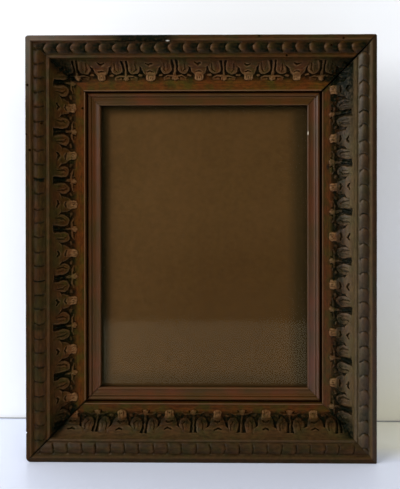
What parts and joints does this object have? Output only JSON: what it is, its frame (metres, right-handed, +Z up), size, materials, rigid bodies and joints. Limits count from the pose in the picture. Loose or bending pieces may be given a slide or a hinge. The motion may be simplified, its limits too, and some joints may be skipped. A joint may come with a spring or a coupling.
{
  "type": "picture frame",
  "caption": "Free-standing carved wooden picture frame with an inner liner, glass, a backing card, a removable back board held by turn-buttons, and a hanging ring.",
  "frame": {"origin": "middle of the flat underside of the bottom rail, halfway through its depth", "axes": "+Z up the height of the frame, +Y from the front to the back, +X along the width; the front faces -Y"},
  "size_m": [0.2756, 0.0425, 0.3356],
  "materials": {
    "carved_oak": "old dark stained and waxed oak, worn on the high points",
    "liner_wood": "dark stained wood with a worn wax shine",
    "board_wood": "bare, dry, aged softwood",
    "old_glass": "plain clear",
    "brown_card": "matt, faded and faintly streaked",
    "dark_iron": "dull, rusty",
    "old_brass": "dull and tarnished"
  },
  "bodies": {
    "frame": {"top_rail": "carved_oak", "bottom_rail": "carved_oak", "left_rail": "carved_oak", "right_rail": "carved_oak", "liner_top": "liner_wood", "liner_bottom": "liner_wood", "liner_left": "liner_wood", "liner_right": "liner_wood", "glass_pane": "old_glass", "backing_card": "brown_card", "back_board": "board_wood", "corner_nails": "dark_iron", "liner_pins": "dark_iron", "turn_button_screws": "old_brass", "hanging_eye": "dark_iron"},
    "button_left": {"turn_button_left": "old_brass"},
    "button_right": {"turn_button_right": "old_brass"},
    "button_top_left": {"turn_button_top_left": "old_brass"},
    "button_top_right": {"turn_button_top_right": "old_brass"},
    "button_bottom_left": {"turn_button_bottom_left": "old_brass"},
    "button_bottom_right": {"turn_button_bottom_right": "old_brass"},
    "ring": {"hanging_ring": "old_brass"}
  },
  "joints": [
    {"name": "button_left_turn", "type": "hinge", "parent": "frame", "child": "button_left", "pos_m": [-0.1088, 0.0178, 0.1678], "axis": [0, 1, 0], "continuous": true},
    {"name": "button_right_turn", "type": "hinge", "parent": "frame", "child": "button_right", "pos_m": [0.1088, 0.0178, 0.1678], "axis": [0, 1, 0], "continuous": true},
    {"name": "button_top_left_turn", "type": "hinge", "parent": "frame", "child": "button_top_left", "pos_m": [-0.06, 0.0178, 0.3066], "axis": [0, 1, 0], "continuous": true},
    {"name": "button_top_right_turn", "type": "hinge", "parent": "frame", "child": "button_top_right", "pos_m": [0.06, 0.0178, 0.3066], "axis": [0, 1, 0], "continuous": true},
    {"name": "button_bottom_left_turn", "type": "hinge", "parent": "frame", "child": "button_bottom_left", "pos_m": [-0.06, 0.0178, 0.029], "axis": [0, 1, 0], "continuous": true},
    {"name": "button_bottom_right_turn", "type": "hinge", "parent": "frame", "child": "button_bottom_right", "pos_m": [0.06, 0.0178, 0.029], "axis": [0, 1, 0], "continuous": true},
    {"name": "ring_swing", "type": "hinge", "parent": "frame", "child": "ring", "pos_m": [0, 0.0215, 0.323], "axis": [1, 0, 0], "range_deg": [-9, 195]}
  ]
}
